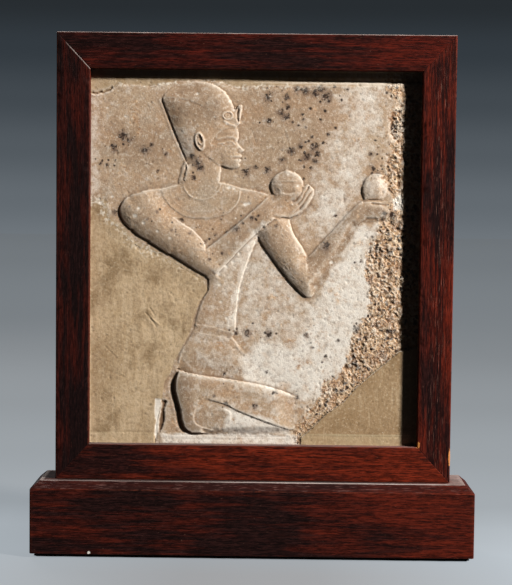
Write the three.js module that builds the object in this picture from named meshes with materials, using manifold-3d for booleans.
import * as THREE from "three";
import { mergeVertices } from "three/addons/utils/BufferGeometryUtils.js";
import Module from "manifold-3d";

// Carved relief plaque in a mitred wooden frame, standing on a plinth.
// Millimetres, +Z up. The carved face looks along -Y. The origin is the middle of the pad's
// underside, on which the whole object rests.

// Frame: two rails and two stiles of one moulding
const frameWidth = 243;
const frameHeight = 273.5;
const frameDepth = 24;
const stileWidth = 20.5;
const railWidth = 22;
const lipThickness = 6;
const railLip = 6;
const frameArris = 0.8;
const glueLine = 0.1;

// Mitre keys, glued into slots across each mitre
const keyLength = 9;
const keyWidth = 9;
const keyThickness = 3;
const keyClearance = 0.15;

// Slab: carved limestone and its two plaster fills
const slabThickness = 13;
const crackGap = 0.3;
const fillDrop = 0.3;
const drawingUnit = 1;
const bandHeight = 6.2;
const bandStart = -58;
const bandRelief = 0.35;
const brokenDepth = 0.6;
const hollowDepth = 1.7;
const carvingRoot = 1.5;
const sightClearance = 0.3;

// What holds the slab in the frame
const packing = 1.5;
const cushionThickness = 1;
const boardThickness = 4;
const boardClearance = 0.5;

// Turn buttons on the back
const buttonReach = 15;
const buttonRadius = 4.5;
const buttonThickness = 1.5;
const buttonRunGap = 0.1;
const buttonInset = 57;
const buttonScrewRadius = 1.75;
const buttonScrewLength = 14;
const buttonHeadRadius = 3.5;
const buttonHeadHeight = 1.8;
const screwSlotWidth = 0.9;
const screwSlotDepth = 0.8;

// Plinth and its pad
const plinthTopWidth = 261;
const plinthTopDepth = 36;
const plinthHeight = 44.5;
const plinthBevelRun = 5.2;
const plinthBevelDrop = 4.5;
const padThickness = 2.5;
const padInset = 2.5;

// Fixings between plinth and bottom rail
const plinthScrewInset = 51.5;
const plinthScrewRadius = 2.25;
const plinthScrewBite = 11.5;
const plinthHeadRadius = 4;
const plinthHeadHeight = 2.6;
const counterboreRadius = 5.5;
const counterboreDepth = 24;
const dowelInset = 26.5;
const dowelRadius = 3;
const dowelBite = 12;
const dowelEndGap = 0.5;
const holeClearance = 0.15;
const shankClearance = 0.35;

// How finely round things are cut
const roundSides = 24;
const curveSteps = 2;

// Worked out from the sizes above. Inside the frame's group, z is 0 at the frame's bottom edge.
const frameBottom = padThickness + plinthHeight;
const frameFront = -frameDepth / 2;
const frameBack = frameDepth / 2;
const stileLip = (railLip * stileWidth) / railWidth;
const sightHalf = frameWidth / 2 - stileWidth;
const sightBottom = railWidth;
const rebateHalf = sightHalf + stileLip;
const rebateBottom = railWidth - railLip;
const rebateTop = frameHeight - rebateBottom;
const slabFront = frameFront + lipThickness;
const slabBack = slabFront + slabThickness;
const slabHalf = rebateHalf - packing;
const slabBottom = rebateBottom + packing;
const slabTop = rebateTop - packing;
const boardFront = slabBack + cushionThickness;
const boardBack = boardFront + boardThickness;
const buttonBase = Math.max(frameBack, boardBack) + buttonRunGap;
const buttonPivotX = (rebateHalf + frameWidth / 2) / 2;
const buttonHeights = { lower: buttonInset, upper: frameHeight - buttonInset };
const plinthScrewX = frameWidth / 2 - plinthScrewInset;
const dowelX = frameWidth / 2 - dowelInset;
const beyondSlab = frameWidth + frameHeight;

const wasm = await Module();
wasm.setup();

// Solids: a closed geometry to a solid, and back

function toSolid(geometry) {
  const plain = geometry.clone();
  plain.deleteAttribute("normal");
  plain.deleteAttribute("uv");
  const merged = mergeVertices(plain, 1e-4);
  const index = merged.index.array;
  const kept = [];
  for (let i = 0; i < index.length; i += 3) {
    const [a, b, c] = [index[i], index[i + 1], index[i + 2]];
    if (a !== b && b !== c && a !== c) kept.push(a, b, c);
  }
  return new wasm.Manifold(
    new wasm.Mesh({
      numProp: 3,
      vertProperties: merged.attributes.position.array,
      triVerts: Uint32Array.from(kept),
    }),
  );
}

function toGeometry(solid) {
  const mesh = solid.getMesh();
  const geometry = new THREE.BufferGeometry();
  geometry.setAttribute("position", new THREE.BufferAttribute(mesh.vertProperties, 3));
  geometry.setIndex(new THREE.BufferAttribute(mesh.triVerts, 1));
  return geometry;
}

function cut(geometry, ...tools) {
  let solid = toSolid(geometry);
  for (const tool of tools) solid = solid.subtract(toSolid(tool));
  return toGeometry(solid);
}

// A block between two corners
function block([x0, y0, z0], [x1, y1, z1]) {
  const geometry = new THREE.BoxGeometry(x1 - x0, y1 - y0, z1 - z0);
  return geometry.translate((x0 + x1) / 2, (y0 + y1) / 2, (z0 + z1) / 2);
}

// A round bar along Z from z0 to z1
function bar(radius, z0, z1) {
  const geometry = new THREE.CylinderGeometry(radius, radius, z1 - z0, roundSides);
  return geometry.rotateX(Math.PI / 2).translate(0, 0, (z0 + z1) / 2);
}

// A closed skin over matching rings of points, with the first and last ring capped
function skin(rings, section) {
  const count = section.length;
  const faces = [];
  for (let r = 0; r + 1 < rings.length; r++) {
    for (let i = 0; i < count; i++) {
      const a = r * count + i;
      const b = r * count + ((i + 1) % count);
      faces.push(a, b, b + count, a, b + count, a + count);
    }
  }
  const caps = THREE.ShapeUtils.triangulateShape(section, []);
  const last = (rings.length - 1) * count;
  for (const [a, b, c] of caps) faces.push(c, b, a, last + a, last + b, last + c);
  const geometry = new THREE.BufferGeometry();
  geometry.setAttribute("position", new THREE.Float32BufferAttribute(rings.flat(2), 3));
  geometry.setIndex(faces);
  return geometry;
}

// Frame members

// The moulding's section as [distance in from the outer edge, y], counter-clockwise
function mouldingSection(width) {
  const narrowing = width / railWidth;
  const corner = frameArris * narrowing;
  const lip = railLip * narrowing;
  return [
    [0, frameFront + frameArris],
    [corner, frameFront],
    [width - corner, frameFront],
    [width, frameFront + frameArris],
    [width, slabFront],
    [width - lip, slabFront],
    [width - lip, frameBack],
    [0, frameBack],
  ];
}

// One member, its outer edge along the X axis, cut to the mitre at both ends
function member(width, length, neighbourWidth) {
  const section = mouldingSection(width);
  const ends = [1, -1].map((side) =>
    section.map(([inward, y]) => {
      const half = length / 2 - (inward * neighbourWidth) / width - glueLine / 2;
      return [side * half, y, inward];
    }),
  );
  const flat = section.map((point) => new THREE.Vector2(...point));
  return skin(ends, flat);
}

// The angle of the mitre at a corner, from the X axis
const mitreAngle = Math.atan2(railWidth, stileWidth);

// A mitre key's block at one corner: xSide and zSide say which corner
function keyBlock(xSide, zSide, grow) {
  const size = [keyWidth, keyThickness, keyLength].map((s) => s + 2 * grow);
  const geometry = new THREE.BoxGeometry(...size);
  geometry.rotateY(xSide * zSide * mitreAngle);
  const x = xSide * buttonPivotX;
  const z = zSide > 0 ? frameHeight - rebateBottom / 2 : rebateBottom / 2;
  return geometry.translate(x, 0, z);
}

function rail(zSide) {
  const geometry = member(railWidth, frameWidth, stileWidth);
  if (zSide > 0) geometry.rotateY(Math.PI).translate(0, 0, frameHeight);
  return geometry;
}

function topRail() {
  return cut(rail(1), keyBlock(-1, 1, keyClearance), keyBlock(1, 1, keyClearance));
}

function bottomRail() {
  const tools = [keyBlock(-1, -1, keyClearance), keyBlock(1, -1, keyClearance)];
  const below = -1;
  for (const side of [-1, 1]) {
    const screwHole = bar(plinthScrewRadius + holeClearance, below, plinthScrewBite + dowelEndGap);
    tools.push(screwHole.translate(side * plinthScrewX, 0, 0));
    const dowelHole = bar(dowelRadius + holeClearance, below, dowelBite + dowelEndGap);
    tools.push(dowelHole.translate(side * dowelX, 0, 0));
  }
  return cut(rail(-1), ...tools);
}

function stile(xSide) {
  const geometry = member(stileWidth, frameHeight, railWidth);
  geometry.rotateY((-xSide * Math.PI) / 2);
  geometry.translate((xSide * frameWidth) / 2, 0, frameHeight / 2);
  const tools = [keyBlock(xSide, -1, keyClearance), keyBlock(xSide, 1, keyClearance)];
  const bite = buttonScrewLength - buttonThickness - 2 * buttonRunGap;
  for (const height of Object.values(buttonHeights)) {
    const hole = bar(buttonScrewRadius + holeClearance, -bite - dowelEndGap, 1);
    hole.rotateX(-Math.PI / 2).translate(xSide * buttonPivotX, frameBack, height);
    tools.push(hole);
  }
  return cut(geometry, ...tools);
}

// Slab. Carving outlines are [x, height above the sight opening's bottom edge] in drawing units.

function drawn([x, z]) {
  return new THREE.Vector2(x * drawingUnit, z * drawingUnit);
}

// An outline from a start point and runs of further points: one point is a straight line, more
// are a smooth curve through them. It closes by itself.
function outline(start, ...runs) {
  const points = [drawn(start)];
  for (const run of runs) {
    const through = [points.at(-1), ...run.map(drawn)];
    const curve = new THREE.SplineCurve(through);
    const steps = run.length === 1 ? 1 : curveSteps * run.length;
    for (let i = 1; i < steps; i++) points.push(curve.getPoint(i / steps));
    points.push(through.at(-1));
  }
  return new THREE.Shape(points);
}

// Stands an outline up in the slab's plane, from y = front back through the given depth
function standing(shape, front, depth, bevel = 0, bevelSize = 0) {
  const geometry = new THREE.ExtrudeGeometry(shape, {
    depth: depth - 2 * bevel,
    bevelEnabled: bevel > 0,
    bevelThickness: bevel,
    bevelSize,
    bevelOffset: -bevelSize,
    bevelSegments: 2,
    curveSegments: curveSteps,
  });
  geometry.rotateX(Math.PI / 2);
  return geometry.translate(0, front + depth - bevel, sightBottom);
}

// A raised form with rounded shoulders, rooted in the slab
function raised(shape, relief, shoulder) {
  const [rise, round] = [relief * drawingUnit, shoulder * drawingUnit];
  return standing(shape, slabFront - rise, rise + carvingRoot, rise, round);
}

function crown() {
  const top = [
    [-54.5, 216.5], [-48, 220.5], [-39.5, 222.6], [-30, 222.2], [-22, 218.8],
    [-16.5, 213], [-13.2, 206], [-11.8, 199], [-11.5, 194.5],
  ];
  const brow = [[-15, 195], [-20, 193.5], [-25, 189.5], [-28, 184.5]];
  const nape = [[-33, 180], [-38, 176], [-41.5, 172]];
  const back = [[-45, 180], [-49.5, 190.5], [-57.5, 210.5]];
  return raised(outline([-57.5, 212.5], top, brow, nape, back), 1.15, 1.1);
}

// A plain head in profile, with the face in equal thirds from hairline to chin
function head() {
  const hairline = 196;
  const third = 9.3;
  const brow = hairline - third * 0.82;
  const noseBase = brow - third;
  const chin = noseBase - third;
  const faceX = -10.4;
  const mouth = noseBase - third / 3;
  const forehead = [[faceX - 0.3, hairline - 3], [faceX, brow]];
  const nose = [[faceX - 0.8, brow - 2.6], [faceX + 1.6, brow - 5.6], [faceX + 4, noseBase + 1.9]];
  const upperLip = [[faceX + 2.1, mouth + 1.2], [faceX + 0.9, mouth]];
  const lowerLip = [[faceX + 1.7, mouth - 1.3], [faceX + 0.3, mouth - 2.8]];
  const jaw = [[faceX + 1.1, chin + 1.7], [faceX - 1.2, chin + 0.1], [-16.5, chin], [-20.5, chin - 1.2]];
  const neckFront = [[-21.6, chin - 7], [-25, chin - 15]];
  const neckBack = [[-43.8, 163], [-42, 172], [-42, 190]];
  return raised(
    outline(
      [-12, hairline], forehead, nose, [[faceX + 1, noseBase]], upperLip, lowerLip, jaw,
      neckFront, [[-43, chin - 15]], neckBack,
    ),
    0.85, 0.7,
  );
}

function ring(centre, half, wall, tilt) {
  const { x, y: z } = drawn(centre);
  const outer = drawn(half);
  const inner = drawn(half.map((length) => length - wall));
  const shape = new THREE.Shape();
  shape.absellipse(x, z, outer.x, outer.y, 0, 2 * Math.PI, false, tilt);
  const hole = new THREE.Path();
  hole.absellipse(x, z, inner.x, inner.y, 0, 2 * Math.PI, true, tilt);
  shape.holes.push(hole);
  return shape;
}

function ear() {
  const shape = ring([-34.4, 186], [3.2, 5.8], 1.3, 0.15);
  return standingRing(shape, 1.6);
}

function cobraCoil() {
  return standingRing(ring([-17.3, 202], [3.6, 3], 1.2, 0), 1.55);
}

// Rings are cut finer than the other outlines, which have many short curves
function standingRing(shape, relief) {
  const geometry = new THREE.ExtrudeGeometry(shape, {
    depth: relief * drawingUnit + carvingRoot,
    bevelEnabled: false,
    curveSegments: 8,
  });
  geometry.rotateX(Math.PI / 2);
  return geometry.translate(0, slabFront + carvingRoot, sightBottom);
}

function cobraHood() {
  const front = [[-10.2, 196.4], [-9.2, 201], [-8, 208.4]];
  const back = [[-10.6, 208.9], [-12.6, 206], [-12.9, 201]];
  return raised(outline([-12.6, 196.8], front, back), 1.45, 0.45);
}

function ribbon() {
  const inner = [[-42.4, 166], [-43.9, 160.8]];
  const outer = [[-46.4, 167], [-44.2, 173]];
  return raised(outline([-42, 172.5], inner, [[-49.4, 161.2]], outer), 0.6, 0.4);
}

function torso() {
  const shoulders = [[-68, 156], [-57.6, 157.5], [-50, 159.5], [-44, 161]];
  const farShoulder = [[-10, 158.5], [0, 156.5], [8, 154], [12, 148], [10, 140], [4, 133]];
  const chest = [[-1, 121], [-5, 110], [-8.5, 98], [-10.5, 83], [-11, 70]];
  const back = [[-35.5, 79], [-32.5, 88], [-28.8, 96], [-28.5, 102]];
  const underArm = [[-46, 113], [-60, 122], [-74, 130], [-81, 143]];
  return raised(
    outline(
      [-77, 153], shoulders, [[-20.5, 161.5]], farShoulder, chest, [[-13, 66.5]],
      [[-37, 70.5]], back, underArm,
    ),
    0.55, 0.8,
  );
}

function collar() {
  const outer = [[-52, 146.5], [-42.6, 141], [-28.5, 139.7], [-17, 142], [-11.5, 150], [-9.5, 159]];
  const inner = [[-22.5, 157], [-26.5, 152.5], [-32, 151.3], [-38, 152], [-42.5, 155], [-44, 161]];
  return raised(outline([-58, 157.5], outer, [[-20.5, 162.5]], inner), 0.75, 0.4);
}

function leftUpperArm() {
  const outer = [
    [-81.3, 149.5], [-83.5, 143.5], [-80.8, 136.5], [-72.5, 128.6], [-60, 121],
    [-46, 112.6], [-35, 106.2], [-29, 103.2], [-25.5, 102.6], [-23.5, 105],
  ];
  const inner = [
    [-31.7, 122.5], [-36, 127.5], [-41.5, 131.5], [-52, 138.8], [-57, 146], [-62, 152], [-70, 155],
  ];
  return raised(outline([-77, 153.2], outer, [[-31, 118.5]], inner), 1.3, 1.6);
}

function leftForearm() {
  const lower = [[-9.6, 114.5], [3, 128.5], [10, 140]];
  const upper = [[0, 143.5], [-15, 130.5], [-31, 118.5]];
  return raised(outline([-24.5, 103.2], lower, [[9.8, 154.6]], upper), 1, 1.4);
}

function leftHand() {
  const fingers = [[25, 153.5], [28.5, 156.5], [31.5, 160.8]];
  const palm = [[35.4, 157], [34.2, 152], [29.7, 145], [22.5, 139.8], [10, 140]];
  return raised(outline([9, 154.2], [[20, 154.4]], fingers, [[34.5, 160]], palm), 0.9, 0.8);
}

function leftJar() {
  const side = [[9, 159.5], [10.6, 164.5], [15, 168], [20, 169.2]];
  const far = [[25, 167.8], [29.2, 164], [30.2, 160], [28, 155.4], [24, 153.8]];
  return raised(outline([10.5, 154.9], side, far), 1.35, 1.3);
}

function rightUpperArm() {
  const outer = [
    [5, 136.5], [2, 131], [3.2, 125.5], [9.3, 116.6], [20.3, 102.4], [29.7, 92.6],
    [33.5, 91], [36.5, 92.5], [38, 96],
  ];
  const inner = [[29.7, 121.5], [23.8, 130.5], [21, 139.5]];
  return raised(outline([11.6, 141], outer, [[32.2, 116]], inner), 1.2, 1.5);
}

function rightForearm() {
  const lower = [[40.7, 99.5], [53.3, 119.7], [62.8, 135.5], [69, 140]];
  const upper = [[61, 147.5], [47, 132.3], [32.2, 115.8]];
  return raised(outline([34.5, 92], lower, [[66, 151]], upper), 0.7, 1.2);
}

function rightHand() {
  const back = [[77, 150.4], [84.5, 147.5]];
  const fingers = [[84.5, 143.5], [81.6, 140]];
  return raised(outline([65, 150.6], back, fingers, [[67, 140]]), 0.8, 0.8);
}

function rightJar() {
  const side = [[65, 157], [66.5, 163], [70, 167], [74, 168]];
  const far = [[78.5, 166.5], [80.8, 161], [80.5, 155], [78.5, 151.6]];
  return raised(outline([66.5, 151.5], side, far), 1.25, 1.2);
}

function kilt() {
  const front = [[-6, 58], [4, 50], [16, 43], [30, 33]];
  const back = [[-46, 55], [-42, 62]];
  return raised(
    outline([-37.3, 70.6], [[-13.5, 66.8]], front, [[28, 27]], [[-47, 46]], back),
    0.65, 0.7,
  );
}

function belt() {
  return raised(outline([-36.3, 74.3], [[-9.8, 70.2]], [[-13.5, 66.8]], [[-37.3, 70.6]]), 0.95, 0.4);
}

function thigh() {
  const upper = [[-35, 42.8], [-16, 41], [6, 37.2], [22, 32.6], [32, 27.5]];
  const knee = [[38, 22], [37, 15], [29, 10]];
  const lower = [[12.4, 14.4], [-3, 19.2], [-19, 26], [-31, 28], [-41, 27]];
  const seat = [[-46.5, 32], [-48.5, 40]];
  return raised(outline([-47, 46.4], upper, knee, lower, seat), 1.25, 1.5);
}

function shin() {
  const upper = [[-19, 26], [-3, 19.2], [12.4, 14.4], [29, 10]];
  const heel = [[-43.5, 8.5], [-45.5, 18], [-46, 27], [-40, 29.5]];
  return raised(outline([-31, 28], upper, [[26, 5.8]], [[-39, 5.8]], heel), 0.85, 1);
}

function seatHollow() {
  const outer = [[-53.5, 37], [-53.8, 30], [-50.5, 20], [-46.5, 9], [-43.5, 6.4]];
  const inner = [[-44, 12], [-47, 22], [-48, 32], [-47, 40]];
  return standing(outline([-49.5, 41.5], outer, [[-41, 6.4]], inner), slabFront - 2, hollowDepth + 2);
}

function groundBand() {
  const reach = slabHalf + 1;
  return block(
    [bandStart, slabFront - bandRelief, slabBottom - 1],
    [reach, slabFront + carvingRoot, sightBottom + bandHeight],
  );
}

// The line where stone meets the left fill, from the slab's left edge down to its bottom edge
function leftJoint() {
  return [
    [-beyondSlab, 152], [-94, 148], [-91.5, 139], [-88, 135.5], [-80, 129.5], [-76, 124],
    [-69.5, 119.5], [-60, 117.5], [-50, 111.5], [-40, 105.5], [-31, 100.5], [-28.5, 95],
    [-33.5, 88], [-37, 79], [-39, 70], [-42.5, 63], [-48.5, 52], [-51.5, 43], [-55, 38],
    [-56, 32], [-56.5, 26], [-59.5, 14], [-60.5, 5], [-61, -beyondSlab],
  ];
}

// The line where stone meets the right fill, from the slab's bottom edge up to its right edge
function rightJoint() {
  return [
    [29, -beyondSlab], [30, 4], [34.5, 8], [45.5, 19], [56.5, 27], [63, 35], [77, 47],
    [89.5, 58], [beyondSlab, 64],
  ];
}

// Where the carved surface has flaked away from the right edge, above the right fill
function brokenEdge() {
  const top = beyondSlab;
  const edge = [
    [80, 205], [81, 175], [83.5, 151], [77, 136], [72, 118], [67, 95], [64, 75], [58, 56],
    [51, 40], [40, 29], [32, 20], [26, 9],
  ];
  return new THREE.Shape(
    [[beyondSlab, top], [79, top], ...edge, [30, 0], [beyondSlab, 0]].map(drawn),
  );
}

// Moves a line of points sideways: to its left as it runs where the distance is positive
function offsetLine(points, distance) {
  return points.map((point, i) => {
    const before = new THREE.Vector2(...points[Math.max(i - 1, 0)]);
    const after = new THREE.Vector2(...points[Math.min(i + 1, points.length - 1)]);
    const along = after.sub(before).normalize();
    return [point[0] - along.y * distance, point[1] + along.x * distance];
  });
}

// The ground on one side of a joint line, closed through far corners beyond the slab
function regionBeside(line, corners, distance) {
  return new THREE.Shape([...offsetLine(line, distance), ...corners].map(drawn));
}

const leftCorners = [[-beyondSlab, -beyondSlab]];
const rightCorners = [[beyondSlab, -beyondSlab]];
const deepest = slabThickness + 20;
const wellInFront = slabFront - 10;

function throughSlab(shape) {
  return toSolid(standing(shape, wellInFront, deepest));
}

function slabBlock(front) {
  return toSolid(block([-slabHalf, front, slabBottom], [slabHalf, slabBack, slabTop]));
}

function reliefFragment() {
  const forms = [
    torso, head, collar, crown, ear, cobraCoil, cobraHood, ribbon, leftForearm, leftUpperArm,
    leftHand, leftJar, rightForearm, rightUpperArm, rightHand, rightJar, kilt, belt, shin, thigh,
    groundBand,
  ];
  let stone = slabBlock(slabFront);
  const flaked = standing(brokenEdge(), slabFront - 1, brokenDepth + 1);
  stone = stone.subtract(toSolid(flaked));
  for (const form of forms) stone = stone.add(toSolid(form()));
  stone = stone.subtract(toSolid(seatHollow()));
  stone = stone.subtract(throughSlab(regionBeside(leftJoint(), leftCorners, crackGap)));
  stone = stone.subtract(throughSlab(regionBeside(rightJoint(), rightCorners, crackGap)));
  return toGeometry(stone.intersect(slabEnvelope()));
}

// The slab's outline, and room in front of it for the carving inside the sight opening
function slabEnvelope() {
  const [half, bottom, top] = [
    sightHalf - sightClearance,
    sightBottom + sightClearance,
    frameHeight - railWidth - sightClearance,
  ];
  return slabBlock(slabFront).add(toSolid(block([-half, wellInFront, bottom], [half, slabBack, top])));
}

function leftFill() {
  const region = throughSlab(regionBeside(leftJoint(), leftCorners, 0));
  return toGeometry(slabBlock(slabFront + fillDrop).intersect(region));
}

function rightFill() {
  const region = throughSlab(regionBeside(rightJoint(), rightCorners, 0));
  const body = slabBlock(slabFront + fillDrop).add(toSolid(groundBand()));
  return toGeometry(body.intersect(region).intersect(slabEnvelope()));
}

// What holds the slab

function packingStrip(side) {
  const corners = {
    left: [[-rebateHalf, slabFront, rebateBottom], [-slabHalf, slabBack, rebateTop]],
    right: [[slabHalf, slabFront, rebateBottom], [rebateHalf, slabBack, rebateTop]],
    bottom: [[-slabHalf, slabFront, rebateBottom], [slabHalf, slabBack, slabBottom]],
    top: [[-slabHalf, slabFront, slabTop], [slabHalf, slabBack, rebateTop]],
  };
  return block(...corners[side]);
}

function cushion() {
  return block([-slabHalf, slabBack, slabBottom], [slabHalf, boardFront, slabTop]);
}

function backboard() {
  const half = rebateHalf - boardClearance;
  return block([-half, boardFront, rebateBottom], [half, boardBack, rebateTop - 2 * boardClearance]);
}

// Turn buttons and their screws, drawn about the pivot with Z along the screw

function buttonPlate() {
  const shape = new THREE.Shape();
  shape.absarc(0, 0, buttonRadius, Math.PI / 2, (3 * Math.PI) / 2, false);
  shape.absarc(buttonReach, 0, buttonRadius, -Math.PI / 2, Math.PI / 2, false);
  const hole = new THREE.Path();
  hole.absarc(0, 0, buttonScrewRadius + buttonRunGap, 0, 2 * Math.PI, true);
  shape.holes.push(hole);
  return new THREE.ExtrudeGeometry(shape, {
    depth: buttonThickness,
    bevelEnabled: false,
    curveSegments: roundSides / 2,
  });
}

function screw(shankRadius, headRadius, headHeight, length) {
  const tip = shankRadius;
  const profile = [
    [0, -length], [shankRadius, tip - length], [shankRadius, 0], [headRadius, 0],
    [headRadius, headHeight * 0.45], [headRadius * 0.62, headHeight * 0.9], [0, headHeight],
  ];
  const lathe = new THREE.LatheGeometry(
    profile.map((point) => new THREE.Vector2(...point)),
    roundSides,
  );
  lathe.rotateX(Math.PI / 2);
  const slot = block(
    [-headRadius - 1, -screwSlotWidth / 2, headHeight - screwSlotDepth],
    [headRadius + 1, screwSlotWidth / 2, headHeight + 1],
  );
  return cut(lathe, slot);
}

// Plinth

// A rectangle about the Z axis at one height
function rectangle(width, depth, z) {
  const [x, y] = [width / 2, depth / 2];
  return [[-x, -y, z], [x, -y, z], [x, y, z], [-x, y, z]];
}

const plinthWidth = plinthTopWidth + 2 * plinthBevelRun;
const plinthDepth = plinthTopDepth + 2 * plinthBevelRun;

function plinth() {
  const rings = [
    rectangle(plinthWidth, plinthDepth, 0),
    rectangle(plinthWidth, plinthDepth, plinthHeight - plinthBevelDrop),
    rectangle(plinthTopWidth, plinthTopDepth, plinthHeight),
  ];
  const flat = rings[0].map(([x, y]) => new THREE.Vector2(x, y));
  const tools = [];
  const above = plinthHeight + 1;
  for (const side of [-1, 1]) {
    const screwX = side * plinthScrewX;
    tools.push(bar(counterboreRadius, -1, counterboreDepth).translate(screwX, 0, 0));
    const shank = bar(plinthScrewRadius + shankClearance, counterboreDepth - 1, above);
    tools.push(shank.translate(screwX, 0, 0));
    const dowelHole = bar(dowelRadius + holeClearance, plinthHeight - dowelBite - dowelEndGap, above);
    tools.push(dowelHole.translate(side * dowelX, 0, 0));
  }
  return cut(skin(rings, flat), ...tools);
}

function plinthPad() {
  const pad = rectangle(plinthWidth - 2 * padInset, plinthDepth - 2 * padInset, 0);
  return block(pad[0], [pad[2][0], pad[2][1], padThickness]);
}

function plinthScrew() {
  const length = plinthHeight - counterboreDepth + plinthScrewBite;
  const geometry = screw(plinthScrewRadius, plinthHeadRadius, plinthHeadHeight, length);
  return geometry.rotateX(Math.PI);
}

function dowel() {
  return bar(dowelRadius, plinthHeight - dowelBite, plinthHeight + dowelBite);
}

// Materials

function finish(color, roughness, metalness = 0) {
  return new THREE.MeshStandardMaterial({ color, roughness, metalness });
}

const mahogany = finish(0x3a1612, 0.38);
const keyWood = finish(0xb08a5c, 0.7);
const limestone = finish(0xb39b80, 0.9);
const plaster = finish(0xa08a63, 0.92);
const cork = finish(0xa07a4c, 0.95);
const felt = finish(0x16181a, 1);
const board = finish(0x8f7350, 0.85);
const brass = finish(0xb08d4a, 0.35, 1);
const steel = finish(0x8a8d90, 0.4, 1);

// Assembly

function add(group, name, geometry, material, [x, y, z] = [0, 0, 0]) {
  const mesh = new THREE.Mesh(geometry, material);
  mesh.name = name;
  mesh.position.set(x, y, z);
  group.add(mesh);
  return mesh;
}

const plaque = new THREE.Group();

const base = new THREE.Group();
base.position.z = padThickness;
plaque.add(base);
add(plaque, "plinth_pad", plinthPad(), felt);
add(base, "plinth", plinth(), mahogany);
for (const [side, x] of [["left", -1], ["right", 1]]) {
  add(base, `plinth_screw_${side}`, plinthScrew(), steel, [x * plinthScrewX, 0, counterboreDepth]);
  add(base, `plinth_dowel_${side}`, dowel(), keyWood, [x * dowelX, 0, 0]);
}

const frame = new THREE.Group();
frame.position.z = frameBottom;
plaque.add(frame);
add(frame, "frame_rail_top", topRail(), mahogany);
add(frame, "frame_rail_bottom", bottomRail(), mahogany);
add(frame, "frame_stile_left", stile(-1), mahogany);
add(frame, "frame_stile_right", stile(1), mahogany);
for (const [side, x] of [["left", -1], ["right", 1]]) {
  for (const [end, z] of [["bottom", -1], ["top", 1]]) {
    add(frame, `mitre_key_${end}_${side}`, keyBlock(x, z, 0), keyWood);
  }
}
add(frame, "relief_fragment", reliefFragment(), limestone);
add(frame, "plaster_fill_left", leftFill(), plaster);
add(frame, "plaster_fill_right", rightFill(), plaster);
for (const side of ["left", "right", "bottom", "top"]) {
  add(frame, `packing_strip_${side}`, packingStrip(side), cork);
}
add(frame, "back_cushion", cushion(), felt);
add(frame, "backboard", backboard(), board);

// Each button points inward over the backboard. Its own Z axis lies along +Y.
for (const [side, x] of [["left", -1], ["right", 1]]) {
  for (const [level, height] of Object.entries(buttonHeights)) {
    const at = [x * buttonPivotX, buttonBase, height];
    const plate = add(frame, `turn_button_${level}_${side}`, buttonPlate(), brass, at);
    plate.rotation.set(-Math.PI / 2, 0, x > 0 ? Math.PI : 0);
    const headAt = [at[0], buttonBase + buttonThickness + buttonRunGap, height];
    const pin = screw(buttonScrewRadius, buttonHeadRadius, buttonHeadHeight, buttonScrewLength);
    const screwMesh = add(frame, `button_screw_${level}_${side}`, pin, brass, headAt);
    screwMesh.rotation.x = -Math.PI / 2;
  }
}

export default plaque;
